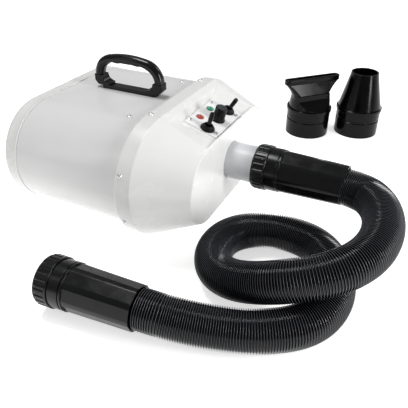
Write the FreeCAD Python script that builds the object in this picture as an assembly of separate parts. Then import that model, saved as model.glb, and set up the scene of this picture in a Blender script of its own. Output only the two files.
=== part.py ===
import FreeCAD, Part
import math
import os

# Pet dryer: a flat-sided tubular blower casing with a rear intake cap and a tapered
# front hood, two fan motors side by side, a heater in the outlet duct, a sloping
# control panel, a carrying handle, a ribbed hose with a cuff at each end, and two
# loose nozzles that slip over the far cuff. Millimetres, Z up, air flows along +X.
# The near side of the dryer is -Y. The table is at Z = 0.

# Casing section: a flat top and bottom joined by two half circles
half_height = 75.0
half_flat = 73.0
tube_wall = 1.5
tube_length = 167.0
tube_tuck = 18.0
seam_gap = 0.8

# Rear cap
cap_length = 24.0
cap_wall = 3.0
cap_round = 8.0
cap_lip_length = 9.0
cap_lip_wall = 2.5
cap_bead = 0.9
cap_bead_width = 2.6
slot_count = 11
slot_pitch = 9.5
slot_height = 3.6
slot_length = 88.0
slot_offset = 54.0
cap_post_radius = 5.0
cap_post_y = 104.0
cap_post_z = 40.0

# Front hood: a stepped band, a taper and a flat face
hood_step = 8.4
hood_band = 22.0
hood_taper = 68.0
hood_wall = 3.0
hood_round = 2.0
face_half_height = 53.6
face_half_flat = 69.4
face_rise = 0.9
ring_gap = 0.2

# Feet
foot_gap = 5.0
foot_radius = 10.0
foot_draft = 1.5
foot_spread = 56.0
rear_foot_x = 26.0
foot_screw_radius = 2.0
foot_screw_sink = 2.0

# Outlet spigot
spigot_radius = 25.5
spigot_wall = 2.5
spigot_rise = 3.7
spigot_reach = 39.0
spigot_tuck = 22.0
spigot_flange_radius = 35.0
spigot_flange = 3.0
spigot_rim_radius = 27.0
spigot_rim = 1.4
fit_gap = 0.3

# Cuffs at the two hose ends, measured from the mouth along the cuff
cuff_length = 121.0
cuff_neck_radius = 28.0
cuff_rim_radius = 29.5
cuff_rim = 1.3
cuff_band_start = 19.0
cuff_band_radius = 29.3
cuff_band_end = 33.0
cuff_groove_radius = 27.9
cuff_groove = 1.8
cuff_bead = 2.2
cuff_sleeve_radius = 28.3
cuff_end_radius = 26.3
cuff_flat_depth = 1.0
cuff_flat_count = 8
cuff_bore_radius = 25.0
cuff_stop = 2.0
cuff_stop_radius = 22.0
hose_tuck = 46.0
hose_gap = 0.4
collar_radius = 31.0
collar_bead = 2.2
collar_groove_radius = 3.0
collar_groove_count = 24
collar_groove_depth = 1.2
end_cuff_turn = 3.0

# Ribbed hose
hose_radius = 24.0
hose_root_radius = 21.8
hose_bore_radius = 20.0
rib_count = 200
rib_crest_share = 0.36
rib_flank_share = 0.16

# Loose nozzles, each with a rubber liner that slips over the end collar
nozzle_radius = 41.3
nozzle_wall = 3.2
nozzle_skirt = 28.5
nozzle_groove = 1.3
nozzle_band_end = 45.5
nozzle_flange = 1.6
nozzle_flange_end = 53.0
nozzle_ledge = 4.0
liner_gap = 0.5
liner_fit = 0.1
liner_recess = 1.0
liner_length = 24.0
cone_height = 119.0
cone_mouth_radius = 25.0
cone_wall = 2.8
cone_curve = 1.05
fan_wall = 2.6
fan_neck_low_radius = 39.5
fan_neck_top_radius = 36.5
fan_ridge_height = 69.0
fan_ridge_half = 16.0
fan_neck_top = 78.0
fan_lip = 9.5
fan_lip_proud = 1.6
fan_height = 109.5
fan_mouth_width = 111.0
fan_mouth_depth = 14.0
fan_turn = 46.3
cone_x = 363.6
cone_y = 383.6
fan_x = 275.8
fan_y = 340.3

# Control panel on the hood's taper
panel_slope = 18.0
panel_x = 229.0
panel_z = 150.7
panel_length = 48.0
panel_width = 84.0
panel_thickness = 1.5
panel_round = 3.0
pocket_rear_margin = 3.0
pocket_front_margin = 1.0
pocket_side_margin = 3.0
pocket_wall = 2.6
rim_rear_x = 199.7
rim_rear_half = 73.5
rim_front_x = 254.3
rim_front_half = 79.0
panel_hole_gap = 0.5
panel_screw_inset = 3.8
panel_screw_side = 9.5
control_row = 6.0
toggle_spread = 32.0
lamp_row = -14.0
lamp_spread = 15.5
toggle_throw = 16.0

# Toggle switches
boot_radius = 10.0
boot_flange = 2.2
boot_waist_radius = 8.6
boot_waist = 1.0
boot_top_radius = 7.2
boot_height = 6.2
bushing_radius = 5.9
ball_radius = 3.8
pin_radius = 1.0
pin_reach = 5.0
lever_length = 25.0
lever_root_radius = 2.6
lever_tip_radius = 3.2
switch_length = 16.0
switch_width = 13.0
switch_depth = 20.0

# Selector knob and its switch
knob_skirt_radius = 10.0
knob_skirt = 2.0
knob_foot_radius = 8.5
knob_top_radius = 8.1
knob_height = 19.3
knob_lift = 0.4
knob_cap_radius = 6.9
knob_cap = 0.8
knob_flute_count = 20
knob_flute_radius = 0.8
shaft_radius = 3.0
shaft_reach = 14.0
selector_size = 19.0
selector_depth = 15.0

# Lamps
lamp_radius = 5.3
lamp_flange = 0.9
lamp_dome = 2.6
lamp_stem_radius = 3.9
lamp_stem = 12.0

# Carrying handle on top of the tube
handle_x = 91.5
handle_y = 6.0
handle_half = 50.2
handle_thickness = 13.0
handle_width = 15.0
handle_corner = 6.0
handle_bend = 24.0
handle_crown_angle = 12.0
handle_end_height = 19.3
handle_end_width = 16.0
handle_end_proud = 0.6
handle_end_inside = 7.5
handle_end_round = 11.0
handle_end_chamfer = 4.5
handle_base = 5.5
handle_base_width = 14.0
handle_base_half = 47.0
finger_groove_radius = 12.0
finger_groove_depth = 1.3
finger_pitch = 16.0
bolt_radius = 2.0
bolt_head_radius = 4.2
bolt_head = 3.0
bolt_reach = 9.0
bolt_inset = 8.0

# Screws
screw_radius = 1.6
screw_head_radius = 3.3
screw_head = 1.7
screw_slot = 0.8
tube_screw_x = 141.0
tube_screw_y = 72.0
hood_screw_x = 173.5
hood_screw_y = 70.0
hood_screw_angle = 24.0
thread_gap = 0.1

# Fan motors, one behind each half of the intake
motor_y = 62.0
bulkhead_x = 12.0
bulkhead_plate = 3.0
bulkhead_rim = 12.0
bulkhead_eye_radius = 22.0
inner_gap = 0.2
gasket = 3.0
gasket_inner_radius = 36.0
can_radius = 55.0
can_length = 38.0
can_wall = 1.4
can_eye_radius = 20.0
motor_radius = 42.0
motor_length = 48.0
motor_wall = 2.0
nose_radius = 30.0
nose_length = 22.0
bearing_wall = 4.0
bearing_gap = 0.05
motor_vent_radius = 4.0
motor_vent_count = 8
motor_shaft_radius = 4.0
stator_inner_radius = 23.0
stator_length = 26.0
stator_offset = 10.0
armature_radius = 22.0
commutator_radius = 12.0
commutator_length = 8.0
impeller_radius = 50.0
impeller_disc = 1.5
impeller_width = 22.0
impeller_eye_radius = 19.0
impeller_hub_radius = 8.0
impeller_offset = 6.0
blade_count = 7
blade_thickness = 1.2
blade_lean = 35.0
frame_plate = 3.0
frame_rim = 26.0
frame_vent_radius = 12.0
mount_ring_wall = 6.0
mount_ring_length = 9.0
board_length = 70.0
board_width = 46.0
board_thickness = 1.6
standoff = 6.0
standoff_radius = 3.0

# Heater in the outlet duct
duct_radius = 28.0
duct_wall = 1.0
duct_length = 84.0
mica = 1.2
mica_length = 66.0
mica_inset = 10.0
mica_end = 6.0
mica_waist = 19.5
coil_wire_radius = 0.9
coil_pitch = 8.0
coil_gap = 0.1
cutout_length = 16.0
cutout_width = 11.0
cutout_height = 7.0

# Intake filter and mains cord gland
foam_thickness = 8.0
foam_gap = 0.4
filter_frame = 2.5
filter_frame_width = 7.0
filter_bar = 4.0
gland_radius = 9.0
gland_length = 14.0
gland_bore_radius = 3.6
gland_nut_radius = 11.5
gland_nut = 4.0
gland_y = 113.0

# Places worked out from the sizes above
axis_z = foot_gap + hood_step + half_height
tube_top = axis_z + half_height
tube_end = tube_length + tube_tuck
band_end = tube_length + hood_band
face_x = band_end + hood_taper
spigot_z = axis_z + face_rise + spigot_rise
outlet_mouth_x = face_x + spigot_reach
hose_centre_low = hose_radius
end_centre_z = collar_radius
top_slope = (half_height + hood_step - face_half_height - face_rise) / hood_taper

# Origin: the middle of the box round the dryer and its nozzles, on the table
nozzle_reach = nozzle_radius + nozzle_flange
low_x = -cap_length - gland_length
high_x = cone_x + nozzle_reach
low_y = -(half_flat + half_height + hood_step)
high_y = cone_y + nozzle_reach
origin = FreeCAD.Vector((low_x + high_x) / 2, (low_y + high_y) / 2, 0)

# Hose route: control points of its centre line, from inside the outlet cuff to inside
# the end cuff. The points between the two ends are chosen to lie as the hose lies on
# the table; the two at each end follow the cuffs.
hose_start_x = outlet_mouth_x + cuff_length - hose_tuck
end_turn = math.radians(end_cuff_turn)
end_mouth = FreeCAD.Vector(138.5, -257.0, end_centre_z)
end_axis = FreeCAD.Vector(math.cos(end_turn), math.sin(end_turn), 0)
hose_end = end_mouth + end_axis * (cuff_length - hose_tuck)
hose_turn_in = end_mouth + end_axis * (cuff_length + 14.0)
hose_route = [
    FreeCAD.Vector(hose_start_x, 0, spigot_z),
    FreeCAD.Vector(outlet_mouth_x + cuff_length + 18.0, 0, spigot_z),
    FreeCAD.Vector(466, -29, 92),
    FreeCAD.Vector(478, -72, 89),
    FreeCAD.Vector(472, -117, 85),
    FreeCAD.Vector(448, -154, 80),
    FreeCAD.Vector(404, -178, 69),
    FreeCAD.Vector(346, -174, 40),
    FreeCAD.Vector(306, -156, 27),
    FreeCAD.Vector(285, -121, hose_centre_low),
    FreeCAD.Vector(287, -82, hose_centre_low),
    FreeCAD.Vector(313, -52, hose_centre_low),
    FreeCAD.Vector(358, -38, hose_centre_low),
    FreeCAD.Vector(406, -48, hose_centre_low),
    FreeCAD.Vector(436, -90, hose_centre_low),
    FreeCAD.Vector(446, -140, hose_centre_low),
    FreeCAD.Vector(431, -187, hose_centre_low),
    FreeCAD.Vector(386, -220, hose_centre_low),
    FreeCAD.Vector(338, -235, hose_centre_low),
    FreeCAD.Vector(300, -244, 27),
    hose_turn_in,
    hose_end,
]

along_x = FreeCAD.Vector(1, 0, 0)
along_y = FreeCAD.Vector(0, 1, 0)
along_z = FreeCAD.Vector(0, 0, 1)
vec = FreeCAD.Vector


def stadium(x, height, flat, centre_z):
    """Closed outline across X: two flats joined by quarter arcs."""
    mid = math.sqrt(0.5) * height
    edges = [Part.makeLine(vec(x, -flat, centre_z + height), vec(x, flat, centre_z + height))]
    corners = [
        (flat, 0, 1, 1, 0),
        (flat, 1, 0, 0, -1),
        (-flat, 0, -1, -1, 0),
        (-flat, -1, 0, 0, 1),
    ]
    for index, (y, ay, az, by, bz) in enumerate(corners):
        start = vec(x, y + ay * height, centre_z + az * height)
        middle = vec(x, y + (ay + by) * mid, centre_z + (az + bz) * mid)
        end = vec(x, y + by * height, centre_z + bz * height)
        edges.append(Part.Arc(start, middle, end).toShape())
        if index == 1:
            edges.append(Part.makeLine(vec(x, flat, centre_z - height), vec(x, -flat, centre_z - height)))
    return Part.Wire(edges)


def stadium_block(x, length, height, flat, centre_z):
    return Part.Face(stadium(x, height, flat, centre_z)).extrude(vec(length, 0, 0))


def stadium_ring(x, length, outer, inner):
    block = stadium_block(x, length, outer, half_flat, axis_z)
    return block.cut(stadium_block(x, length, inner, half_flat, axis_z))


def rod(radius, length, start, direction):
    return Part.makeCylinder(radius, length, start, direction)


def pipe(outer, inner, length, start, direction):
    return rod(outer, length, start, direction).cut(rod(inner, length, start, direction))


def turned(profile, start, direction):
    """Solid of revolution: profile is (distance along the axis, radius) pairs."""
    points = [vec(radius, 0, along) for along, radius in profile]
    points.append(points[0])
    solid = Part.Face(Part.makePolygon(points)).revolve(vec(0, 0, 0), along_z, 360)
    if solid.Volume < 0:
        solid.reverse()
    turn = FreeCAD.Rotation(along_z, direction)
    solid.Placement = FreeCAD.Placement(start, turn)
    return solid


def rounded_rectangle(length, width, radius, z):
    """Outline in the XY plane at height z, centred on the Z axis."""
    half_x = length / 2
    half_y = width / 2
    sides = [
        (vec(half_x - radius, -half_y, z), vec(half_x, -half_y + radius, z), (1, -1)),
        (vec(half_x, half_y - radius, z), vec(half_x - radius, half_y, z), (1, 1)),
        (vec(-half_x + radius, half_y, z), vec(-half_x, half_y - radius, z), (-1, 1)),
        (vec(-half_x, -half_y + radius, z), vec(-half_x + radius, -half_y, z), (-1, -1)),
    ]
    edges = []
    inset = radius * (1 - math.sqrt(0.5))
    for index, (start, end, (sign_x, sign_y)) in enumerate(sides):
        middle = vec(sign_x * (half_x - inset), sign_y * (half_y - inset), z)
        edges.append(Part.Arc(start, middle, end).toShape())
        edges.append(Part.makeLine(end, sides[(index + 1) % 4][0]))
    return Part.Wire(edges)


def joined(shapes):
    whole = shapes[0].multiFuse(shapes[1:]) if len(shapes) > 1 else shapes[0]
    return whole.removeSplitter()


def screw(head_centre, inward, reach):
    """Pan-head screw: head_centre is on the surface, inward points into the work."""
    outward = inward * -1
    head = turned(
        [(0, 0), (0, screw_head_radius), (0.9, 2.9), (screw_head, 1.6), (screw_head, 0)],
        head_centre,
        outward,
    )
    shank = rod(screw_radius, reach, head_centre, inward)
    side = outward.cross(along_x)
    if side.Length < 0.5:
        side = outward.cross(along_y)
    side.normalize()
    slot_floor = head_centre + outward * (screw_head - screw_slot)
    recess = Part.makeBox(4, screw_slot, 2, vec(-2, -screw_slot / 2, 0))
    recess = recess.fuse(Part.makeBox(screw_slot, 4, 2, vec(-screw_slot / 2, -2, 0)))
    turn = FreeCAD.Rotation(side, outward.cross(side), outward)
    recess.Placement = FreeCAD.Placement(slot_floor, turn)
    return head.fuse(shank).cut(recess)


# Casing shells

def rear_cap():
    """Moulded cap: rounded rear edge, rows of intake slots, a lip inside the tube."""
    outer = stadium_block(-cap_length, cap_length, half_height, half_flat, axis_z)
    rear_edges = [edge for edge in outer.Edges if abs(edge.BoundBox.XMax + cap_length) < 0.01]
    outer = outer.makeFillet(cap_round, rear_edges)
    inner = stadium_block(-cap_length + cap_wall, cap_length, half_height - cap_wall, half_flat, axis_z)
    lip_radius = half_height - tube_wall - inner_gap
    lip = stadium_ring(-cap_wall, cap_wall + cap_lip_length, lip_radius, lip_radius - cap_lip_wall)
    bead = stadium_block(-cap_bead_width, cap_bead_width, half_height + cap_bead, half_flat, axis_z)
    rims = [edge for edge in bead.Edges if edge.BoundBox.XLength < 0.01]
    bead = bead.makeFillet(cap_bead * 0.8, rims)
    cap = outer.fuse(bead).cut(inner).fuse(lip)
    slots = []
    for row in range(slot_count):
        z = axis_z + (row - (slot_count - 1) / 2) * slot_pitch
        for side in (-1, 1):
            corner = vec(-cap_length - 1, side * slot_offset - slot_length / 2, z - slot_height / 2)
            slots.append(Part.makeBox(cap_wall + 2, slot_length, slot_height, corner))
    cap = cap.cut(Part.makeCompound(slots))
    post_length = cap_length - cap_wall + bulkhead_x
    for y, z in cap_post_places():
        start = vec(-cap_length + cap_wall, y, z)
        cap = cap.fuse(rod(cap_post_radius, post_length, start, along_x))
        outside = vec(-cap_length - 1, y, z)
        cap = cap.cut(rod(screw_radius + thread_gap, post_length + cap_wall + 2, outside, along_x))
    outside = vec(-cap_length - 1, gland_y, axis_z)
    cap = cap.cut(rod(gland_radius + thread_gap, cap_wall + 2, outside, along_x))
    return cap.removeSplitter()


def cap_post_places():
    places = []
    for y in (-cap_post_y, cap_post_y):
        for z in (axis_z - cap_post_z, axis_z + cap_post_z):
            places.append((y, z))
    return places


def cap_screws():
    reach = cap_length + bulkhead_x + bulkhead_plate + 2
    return [screw(vec(-cap_length, y, z), along_x, reach) for y, z in cap_post_places()]


def body_tube():
    """Rolled and painted sheet tube, tucked into the hood at the front."""
    length = tube_end - seam_gap
    tube = stadium_ring(seam_gap, length, half_height, half_height - tube_wall)
    holes = []
    for y in (-tube_screw_y, tube_screw_y):
        for z in (axis_z - half_height - 1, tube_top - tube_wall - 1):
            holes.append(rod(screw_radius + thread_gap, tube_wall + 2, vec(tube_screw_x, y, z), along_z))
    for side in (-1, 1):
        centre = vec(handle_bolt_x(side), handle_y, tube_top - tube_wall - 1)
        holes.append(rod(bolt_radius + thread_gap, tube_wall + 2, centre, along_z))
        foot = vec(rear_foot_x, side * foot_spread, axis_z - half_height - 1)
        holes.append(rod(foot_screw_radius + thread_gap, tube_wall + 2, foot, along_z))
    return tube.cut(Part.makeCompound(holes))


def hood_outer():
    band = stadium_block(tube_length, hood_band, half_height + hood_step, half_flat, axis_z)
    taper = Part.makeLoft(
        [
            stadium(band_end, half_height + hood_step, half_flat, axis_z),
            stadium(face_x, face_half_height, face_half_flat, axis_z + face_rise),
        ],
        True,
        True,
    )
    outer = band.fuse(taper).removeSplitter()
    ends = []
    for edge in outer.Edges:
        box = edge.BoundBox
        at_rear = abs(box.XMax - tube_length) < 0.01
        at_front = abs(box.XMin - face_x) < 0.01
        if at_rear or at_front:
            ends.append(edge)
    return outer.makeFillet(hood_round, ends)


def hood_inner():
    slope = math.atan(top_slope)
    thickness = hood_wall / math.cos(slope)
    shift = hood_wall * math.tan(slope / 2)
    start = half_height + hood_step - hood_wall
    end_x = face_x - hood_wall
    share = (end_x - band_end) / hood_taper
    end_height = half_height + hood_step + (face_half_height - half_height - hood_step) * share - thickness
    end_flat = half_flat + (face_half_flat - half_flat) * share
    band = stadium_block(tube_length + hood_wall, hood_band - hood_wall - shift, start, half_flat, axis_z)
    taper = Part.makeLoft(
        [
            stadium(band_end - shift, start, half_flat, axis_z),
            stadium(end_x, end_height, end_flat, axis_z + face_rise * share),
        ],
        True,
        True,
    )
    return band.fuse(taper)


def panel_placement():
    turn = FreeCAD.Rotation(along_y, panel_slope)
    return FreeCAD.Placement(vec(panel_x, 0, panel_z), turn)


def on_panel(shape):
    """Moves a shape from the panel's own frame, face at Z = 0, to its place."""
    shape.Placement = panel_placement().multiply(shape.Placement)
    return shape


def panel_point(x, y, z):
    return panel_placement().multVec(vec(x, y, z))


def pocket_block(grow, drop):
    """Shallow well round the panel: a small floor, and wide sloping sides."""
    back = panel_placement().inverse()
    band_top = axis_z + half_height + hood_step
    rear = back.multVec(vec(rim_rear_x, 0, band_top - (rim_rear_x - band_end) * top_slope))
    front = back.multVec(vec(rim_front_x, 0, band_top - (rim_front_x - band_end) * top_slope))
    floor_z = -panel_thickness - drop
    floor_rear = -panel_length / 2 - pocket_rear_margin - grow
    floor_front = panel_length / 2 + pocket_front_margin + grow
    floor_half = panel_width / 2 + pocket_side_margin + grow
    beyond = 1.5
    top_rear_x = floor_rear + (rear.x - grow - floor_rear) * beyond
    top_rear_z = floor_z + (rear.z - floor_z) * beyond
    top_rear_half = floor_half + (rim_rear_half + grow - floor_half) * beyond
    top_front_x = floor_front + (front.x + grow - floor_front) * beyond
    top_front_z = floor_z + (front.z - floor_z) * beyond
    top_front_half = floor_half + (rim_front_half + grow - floor_half) * beyond
    low = Part.makePolygon([
        vec(floor_rear, -floor_half, floor_z),
        vec(floor_front, -floor_half, floor_z),
        vec(floor_front, floor_half, floor_z),
        vec(floor_rear, floor_half, floor_z),
        vec(floor_rear, -floor_half, floor_z),
    ])
    high = Part.makePolygon([
        vec(top_rear_x, -top_rear_half, top_rear_z),
        vec(top_front_x, -top_front_half, top_front_z),
        vec(top_front_x, top_front_half, top_front_z),
        vec(top_rear_x, top_rear_half, top_rear_z),
        vec(top_rear_x, -top_rear_half, top_rear_z),
    ])
    return on_panel(Part.makeLoft([low, high], True, True))


def hood_screw_places():
    """Points on the band's surface with the direction into the casing."""
    outer = half_height + hood_step
    places = []
    for y in (-hood_screw_y, hood_screw_y):
        for up in (-1, 1):
            places.append((vec(hood_screw_x, y, axis_z + up * outer), vec(0, 0, -up)))
    for side in (-1, 1):
        for up in (-1, 1):
            angle = math.radians(hood_screw_angle) * up
            out = vec(0, side * math.cos(angle), math.sin(angle))
            places.append((vec(hood_screw_x, side * half_flat, axis_z) + out * outer, out * -1))
    return places


def front_hood():
    """Moulded hood: shell, panel well with its own floor, spigot hole, screw holes."""
    outer = hood_outer()
    shell = outer.cut(hood_inner())
    tube_hole = stadium_block(tube_length - 1, hood_wall + 2, half_height + ring_gap, half_flat, axis_z)
    shell = shell.cut(tube_hole)
    well = pocket_block(pocket_wall, pocket_wall).common(outer)
    shell = shell.fuse(well).cut(pocket_block(0, 0))
    half_width = toggle_spread + switch_width / 2 + panel_hole_gap
    half_length = max(switch_length, selector_size) / 2 + panel_hole_gap
    corner = vec(control_row - half_length, -half_width, -20)
    opening = Part.makeBox(2 * half_length, 2 * half_width, 20, corner)
    shell = shell.cut(on_panel(opening))
    for side in (-1, 1):
        below = vec(lamp_row, side * lamp_spread, -20)
        shell = shell.cut(on_panel(rod(lamp_stem_radius + panel_hole_gap, 20, below, along_z)))
    for x, y in panel_screw_places():
        hole = rod(screw_radius + thread_gap, 12, vec(x, y, -12), along_z)
        shell = shell.cut(on_panel(hole))
    behind = vec(face_x - hood_wall - 2, 0, spigot_z)
    shell = shell.cut(rod(spigot_radius + fit_gap, hood_wall + 4, behind, along_x))
    for place, inward in hood_screw_places():
        shell = shell.cut(rod(screw_radius + thread_gap, hood_wall + 2, place - inward, inward))
    for start in spigot_screw_places():
        shell = shell.cut(rod(screw_radius + thread_gap, spigot_screw_bite(), start, along_x))
    for side in (-1, 1):
        foot = vec(front_foot_x(), side * foot_spread, axis_z - half_height - hood_step - 1)
        shell = shell.cut(rod(foot_screw_radius + thread_gap, hood_wall + 2, foot, along_z))
    return shell.removeSplitter()


def joint_ring():
    """Moulded ring that centres the hood on the tube and takes the hood screws."""
    start = tube_length + hood_wall
    ring = stadium_ring(
        start,
        tube_tuck - hood_wall,
        half_height + hood_step - hood_wall - ring_gap,
        half_height + ring_gap,
    )
    for place, inward in hood_screw_places():
        depth = hood_step + 2
        ring = ring.cut(rod(screw_radius + thread_gap, depth, place, inward))
    for side in (-1, 1):
        foot = vec(front_foot_x(), side * foot_spread, axis_z - half_height - hood_step)
        ring = ring.cut(rod(foot_screw_radius + thread_gap, hood_step, foot, along_z))
    return ring


def hood_screws():
    reach = hood_step - ring_gap - 0.6
    return [screw(place, inward, reach) for place, inward in hood_screw_places()]


def tube_screws():
    screws = []
    reach = tube_wall + inner_gap + frame_plate
    for y in (-tube_screw_y, tube_screw_y):
        screws.append(screw(vec(tube_screw_x, y, tube_top), vec(0, 0, -1), reach))
        screws.append(screw(vec(tube_screw_x, y, axis_z - half_height), along_z, reach))
    return screws


# Feet

def front_foot_x():
    return tube_length + hood_wall + (tube_tuck - hood_wall) / 2


def foot(x, y, height):
    """Rubber foot: tapered, with a sunk hole for its screw."""
    body = Part.makeCone(foot_radius - foot_draft, foot_radius, height, vec(x, y, 0), along_z)
    body = body.cut(rod(foot_screw_radius + thread_gap, height, vec(x, y, 0), along_z))
    return body.cut(rod(screw_head_radius + 1, foot_screw_sink, vec(x, y, 0), along_z))


def rear_feet():
    height = foot_gap + hood_step
    return Part.makeCompound([foot(rear_foot_x, side * foot_spread, height) for side in (-1, 1)])


def front_feet():
    return Part.makeCompound([foot(front_foot_x(), side * foot_spread, foot_gap) for side in (-1, 1)])


def foot_screws():
    screws = []
    for x, height, grip in (
        (rear_foot_x, foot_gap + hood_step, tube_wall + 2),
        (front_foot_x(), foot_gap, hood_wall + 3),
    ):
        for side in (-1, 1):
            centre = vec(x, side * foot_spread, foot_screw_sink)
            head = rod(screw_head_radius, 1.2, centre - along_z * 1.2, along_z)
            shank = rod(foot_screw_radius, height - foot_screw_sink + grip, centre, along_z)
            screws.append(head.fuse(shank))
    return Part.makeCompound(screws)


# Rear end: gland, filter

def cable_gland():
    """Moulded gland for the mains cord, through the rear cap, with its nut inside."""
    start = vec(-cap_length - gland_length, gland_y, axis_z)
    length = gland_length
    taper = turned(
        [
            (0, gland_bore_radius),
            (0, gland_radius - 3),
            (length - 4, gland_radius - 1.5),
            (length - 3, gland_radius + 2.5),
            (length, gland_radius + 2.5),
            (length, gland_radius),
            (length + cap_wall + gland_nut, gland_radius),
            (length + cap_wall + gland_nut, gland_bore_radius),
        ],
        start,
        along_x,
    )
    return taper


def gland_nut_ring():
    start = vec(-cap_length + cap_wall, gland_y, axis_z)
    return pipe(gland_nut_radius, gland_radius + thread_gap, gland_nut, start, along_x)


def post_clearance(x, length):
    return Part.makeCompound([
        rod(cap_post_radius + foam_gap, length, vec(x, y, z), along_x) for y, z in cap_post_places()
    ])


def filter_foam():
    """Open-cell foam sheet against the inside of the intake slots."""
    x = -cap_length + cap_wall
    foam = stadium_block(x, foam_thickness, half_height - cap_wall - foam_gap, half_flat, axis_z)
    foam = foam.cut(post_clearance(x, foam_thickness))
    gland = rod(gland_nut_radius + 1, foam_thickness, vec(x, gland_y, axis_z), along_x)
    return foam.cut(gland)


def filter_retainer():
    """Moulded frame with cross bars that keeps the foam flat."""
    x = -cap_length + cap_wall + foam_thickness
    outer = half_height - cap_wall - foam_gap
    ring = stadium_ring(x, filter_frame, outer, outer - filter_frame_width)
    bars = []
    for y in (-motor_y, 0, motor_y):
        corner = vec(x, y - filter_bar / 2, axis_z - outer)
        bars.append(Part.makeBox(filter_frame, filter_bar, 2 * outer, corner))
    length = 2 * (half_flat + outer)
    corner = vec(x, -length / 2, axis_z - filter_bar / 2)
    bars.append(Part.makeBox(filter_frame, length, filter_bar, corner))
    bars = Part.makeCompound(bars).common(stadium_block(x, filter_frame, outer - 1, half_flat, axis_z))
    retainer = ring.fuse(bars).cut(post_clearance(x, filter_frame))
    gland = rod(gland_nut_radius + 1, filter_frame, vec(x, gland_y, axis_z), along_x)
    return retainer.cut(gland).removeSplitter()


# Motors and what carries them

def bulkhead():
    """Moulded wall across the tube with an eye in front of each fan."""
    outer = half_height - tube_wall - inner_gap
    wall = stadium_block(bulkhead_x, bulkhead_plate, outer, half_flat, axis_z)
    wall = wall.fuse(stadium_ring(bulkhead_x, bulkhead_rim, outer, outer - cap_lip_wall))
    for side in (-1, 1):
        centre = vec(bulkhead_x - 1, side * motor_y, axis_z)
        wall = wall.cut(rod(bulkhead_eye_radius, bulkhead_plate + 2, centre, along_x))
    for y, z in cap_post_places():
        centre = vec(bulkhead_x - 1, y, z)
        wall = wall.cut(rod(screw_radius + thread_gap, bulkhead_plate + 2, centre, along_x))
    for side in (-1, 1):
        foot_hole = vec(rear_foot_x, side * foot_spread, axis_z - half_height)
        wall = wall.cut(rod(foot_screw_radius + 1, 12, foot_hole, along_z))
    return wall.removeSplitter()


def motor_gaskets():
    x = bulkhead_x + bulkhead_plate
    return Part.makeCompound([
        pipe(can_radius - 3, gasket_inner_radius, gasket, vec(x, side * motor_y, axis_z), along_x)
        for side in (-1, 1)
    ])


can_x = bulkhead_x + bulkhead_plate + gasket
motor_x = can_x + can_length
nose_x = motor_x + motor_length
nose_end = nose_x + nose_length
frame_x = nose_end - mount_ring_length


def vent_ring(radius, x, y, length):
    holes = []
    for index in range(motor_vent_count):
        angle = 2 * math.pi * index / motor_vent_count
        centre = vec(x, y + radius * math.cos(angle), axis_z + radius * math.sin(angle))
        holes.append(rod(motor_vent_radius, length, centre, along_x))
    return Part.makeCompound(holes)


def fan_can(side):
    """Pressed sheet drum round one fan: eye at the rear, bearing and vents in front."""
    y = side * motor_y
    can = turned(
        [
            (0, can_eye_radius),
            (0, can_radius),
            (can_length, can_radius),
            (can_length, motor_shaft_radius + bearing_gap),
            (can_length - bearing_wall, motor_shaft_radius + bearing_gap),
            (can_length - bearing_wall, motor_shaft_radius + 5),
            (can_length - can_wall, motor_shaft_radius + 6),
            (can_length - can_wall, can_radius - can_wall),
            (can_wall, can_radius - can_wall),
            (can_wall, can_eye_radius),
        ],
        vec(can_x, y, axis_z),
        along_x,
    )
    return can.cut(vent_ring(motor_radius * 0.6, motor_x - can_wall - 1, y, can_wall + 2))


def impeller(side):
    """Fan wheel: two discs, leaning blades between them, and a hub on the shaft."""
    y = side * motor_y
    x = can_x + impeller_offset
    back_x = x + impeller_width - impeller_disc
    wheel = [
        pipe(impeller_radius, impeller_eye_radius, impeller_disc, vec(x, y, axis_z), along_x),
        rod(impeller_radius, impeller_disc, vec(back_x, y, axis_z), along_x),
        rod(impeller_hub_radius, impeller_width, vec(x, y, axis_z), along_x),
    ]
    for index in range(blade_count):
        blade_length = impeller_radius - impeller_eye_radius - 1
        blade = Part.makeBox(impeller_width, blade_length, blade_thickness, vec(0, 0, -blade_thickness / 2))
        blade.rotate(vec(0, 0, 0), along_x, blade_lean)
        blade.translate(vec(0, impeller_eye_radius, 0))
        blade.rotate(vec(0, 0, 0), along_x, 360 * index / blade_count)
        blade.translate(vec(x, y, axis_z))
        wheel.append(blade)
    wheel = wheel[0].multiFuse(wheel[1:])
    keep = rod(impeller_radius, impeller_width, vec(x, y, axis_z), along_x)
    bore = rod(motor_shaft_radius, impeller_width + 2, vec(x - 1, y, axis_z), along_x)
    return wheel.common(keep).cut(bore).removeSplitter()


def armature(side):
    """Motor shaft with its wound armature and commutator."""
    centre = vec(0, side * motor_y, axis_z)
    start = can_x + impeller_offset - 1
    parts = [
        rod(motor_shaft_radius, nose_end - 1 - start, centre + along_x * start, along_x),
        rod(armature_radius, stator_length, centre + along_x * (motor_x + stator_offset), along_x),
        rod(commutator_radius, commutator_length, centre + along_x * (nose_x + 2), along_x),
    ]
    return joined(parts)


def stator(side):
    start = vec(motor_x + stator_offset, side * motor_y, axis_z)
    ring = pipe(motor_radius - motor_wall, stator_inner_radius, stator_length, start, along_x)
    slots = []
    for up in (-1, 1):
        corner = vec(start.x - 1, start.y - 7, axis_z + up * 34 - 7)
        slots.append(Part.makeBox(stator_length + 2, 14, 14, corner))
    return ring.cut(Part.makeCompound(slots))


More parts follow.
